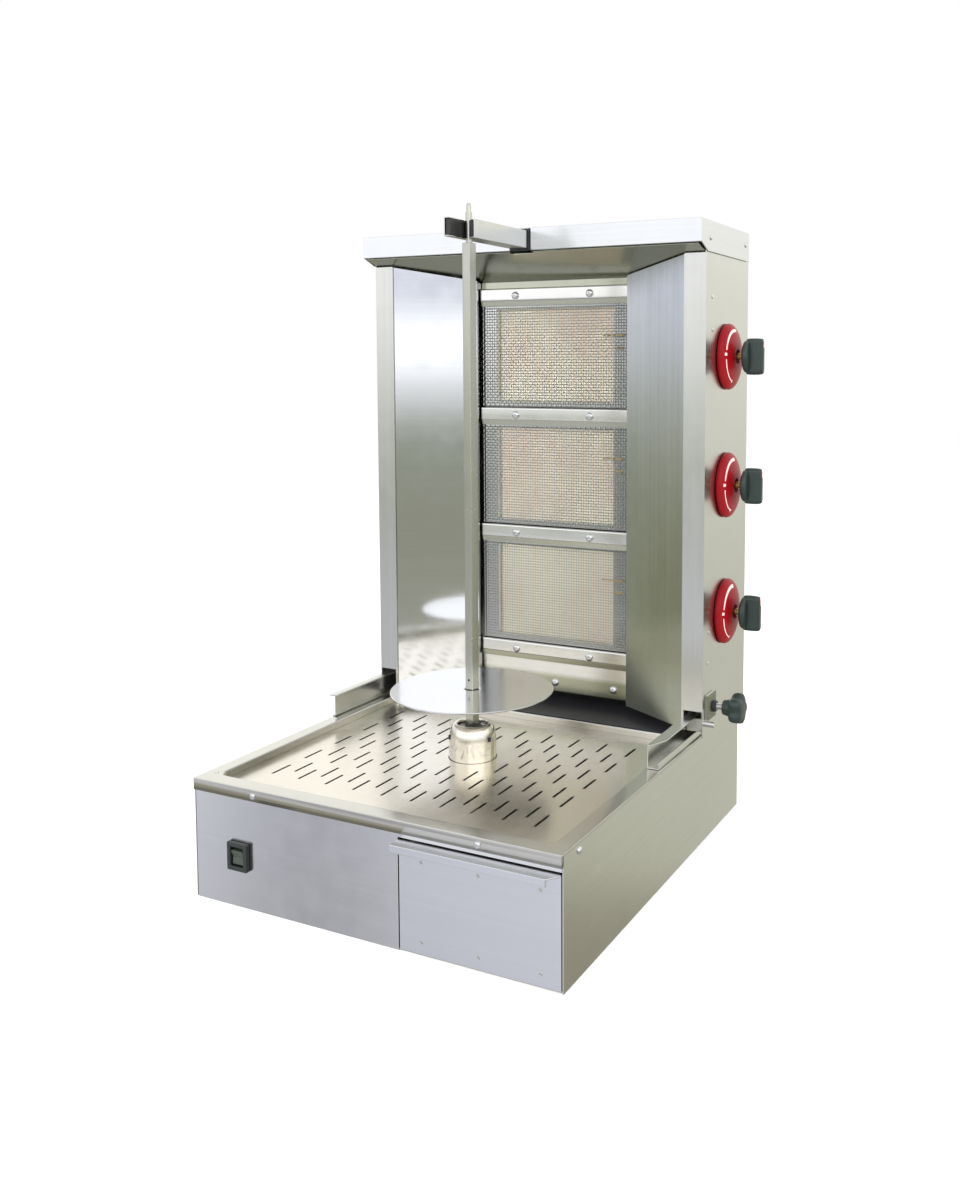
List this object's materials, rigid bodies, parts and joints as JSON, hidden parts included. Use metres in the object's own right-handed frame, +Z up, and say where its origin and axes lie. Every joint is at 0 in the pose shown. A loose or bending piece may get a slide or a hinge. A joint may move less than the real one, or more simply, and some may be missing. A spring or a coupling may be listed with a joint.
{
  "type": "vertical gas broiler",
  "caption": "Table-top vertical broiler: motor-turned spit and disc over a perforated tray, and a gas burner column that slides on rails.",
  "frame": {"origin": "centre of the base's underside, on the surface it stands on", "axes": "+X to the right of the person who faces the front, +Y to the back, +Z up"},
  "size_m": [0.5705, 0.612, 0.8462],
  "materials": {
    "stainless_sheet": "satin stainless sheet",
    "polished_steel": "turned and polished stainless",
    "black_enamel": "near-black heat-proof enamel",
    "black_plastic": "moulded heat-proof plastic",
    "red_enamel": "glossy red",
    "ceramic": "matt porous ceramic plaque",
    "wire_mesh": "heat-stained wire mesh",
    "brass": "machined",
    "cast_metal": "as cast"
  },
  "bodies": {
    "base": {"base_shell": "stainless_sheet", "base_floor": "stainless_sheet", "base_front_panel": "stainless_sheet", "deck_frame": "stainless_sheet", "tray_plate": "stainless_sheet", "deck_floor_plate": "black_enamel", "left_rail": "stainless_sheet", "right_rail": "stainless_sheet", "drip_chute": "stainless_sheet", "gear_motor": "cast_metal", "rocker_bezel": "black_plastic", "cable_gland": "black_plastic"},
    "drawer": {"drawer_front": "stainless_sheet", "drawer_pan": "stainless_sheet"},
    "spindle": {"output_gear": "cast_metal", "output_shaft": "polished_steel", "hub": "polished_steel", "spit": "polished_steel", "meat_disc": "stainless_sheet"},
    "pinion": {"motor_pinion": "brass"},
    "rocker": {"rocker": "black_plastic"},
    "column": {"side_panel_left": "stainless_sheet", "side_panel_right": "stainless_sheet", "back_panel": "stainless_sheet", "hood": "stainless_sheet", "heat_deflector": "stainless_sheet", "wing_left": "stainless_sheet", "wing_right": "stainless_sheet", "lower_panel": "stainless_sheet", "bracket_1": "stainless_sheet", "bracket_2": "stainless_sheet", "bracket_3": "stainless_sheet", "bracket_4": "stainless_sheet", "burner_1": "polished_steel", "burner_2": "polished_steel", "burner_3": "polished_steel", "ceramic_1": "ceramic", "ceramic_2": "ceramic", "ceramic_3": "ceramic", "guard_1": "wire_mesh", "guard_2": "wire_mesh", "guard_3": "wire_mesh", "gas_manifold": "brass", "valve_1": "brass", "valve_2": "brass", "valve_3": "brass", "dial_1": "red_enamel", "dial_2": "red_enamel", "dial_3": "red_enamel", "arm_guide": "black_plastic"},
    "arm": {"arm": "stainless_sheet", "arm_pin_block": "black_plastic"},
    "stem_1": {"valve_stem_1": "brass"},
    "stem_2": {"valve_stem_2": "brass"},
    "stem_3": {"valve_stem_3": "brass"},
    "knob_1": {"knob_1": "black_plastic"},
    "knob_2": {"knob_2": "black_plastic"},
    "knob_3": {"knob_3": "black_plastic"},
    "clamp_pad": {"clamp_pad": "black_plastic"},
    "clamp_knob": {"clamp_knob": "black_plastic"}
  },
  "joints": [
    {"name": "drawer_slide", "type": "slide", "parent": "base", "child": "drawer", "axis": [0, -1, 0], "range_m": [0, 0.28]},
    {"name": "spindle_spin", "type": "hinge", "parent": "base", "child": "spindle", "pos_m": [0, -0.051, 0.1], "axis": [0, 0, 1], "continuous": true},
    {"name": "pinion_spin", "type": "hinge", "parent": "base", "child": "pinion", "pos_m": [-0.0375, -0.051, 0.07], "axis": [0, 0, 1], "continuous": true},
    {"name": "rocker_tilt", "type": "hinge", "parent": "base", "child": "rocker", "pos_m": [-0.181, -0.281, 0.063], "axis": [1, 0, 0], "range_deg": [-18, 0]},
    {"name": "column_slide", "type": "slide", "parent": "base", "child": "column", "axis": [0, -1, 0], "range_m": [0, 0.105]},
    {"name": "arm_slide", "type": "slide", "parent": "column", "child": "arm", "axis": [0, 1, 0], "range_m": [0, 0.105]},
    {"name": "knob_press_1", "type": "slide", "parent": "column", "child": "stem_1", "axis": [-1, 0, 0], "range_m": [0, 0.004], "stiffness_N_per_m": 1500, "springref_m": -0.002},
    {"name": "knob_turn_1", "type": "hinge", "parent": "stem_1", "child": "knob_1", "pos_m": [0.29, 0.192, 0.656], "axis": [1, 0, 0], "range_deg": [0, 180]},
    {"name": "knob_press_2", "type": "slide", "parent": "column", "child": "stem_2", "axis": [-1, 0, 0], "range_m": [0, 0.004], "stiffness_N_per_m": 1500, "springref_m": -0.002},
    {"name": "knob_turn_2", "type": "hinge", "parent": "stem_2", "child": "knob_2", "pos_m": [0.29, 0.192, 0.4816], "axis": [1, 0, 0], "range_deg": [0, 180]},
    {"name": "knob_press_3", "type": "slide", "parent": "column", "child": "stem_3", "axis": [-1, 0, 0], "range_m": [0, 0.004], "stiffness_N_per_m": 1500, "springref_m": -0.002},
    {"name": "knob_turn_3", "type": "hinge", "parent": "stem_3", "child": "knob_3", "pos_m": [0.29, 0.192, 0.3072], "axis": [1, 0, 0], "range_deg": [0, 180]},
    {"name": "clamp_travel", "type": "slide", "parent": "column", "child": "clamp_pad", "axis": [-1, 0, 0], "range_m": [0, 0.001]},
    {"name": "clamp_turn", "type": "hinge", "parent": "clamp_pad", "child": "clamp_knob", "pos_m": [0.29, 0.136, 0.189], "axis": [-1, 0, 0], "range_deg": [0, 288]}
  ],
  "couplings": [
    {"joint": "pinion_spin", "follows": "spindle_spin", "ratio": -4},
    {"joint": "arm_slide", "follows": "column_slide", "ratio": 1},
    {"joint": "clamp_travel", "follows": "clamp_turn", "m_per_rad": 0.0001989}
  ]
}
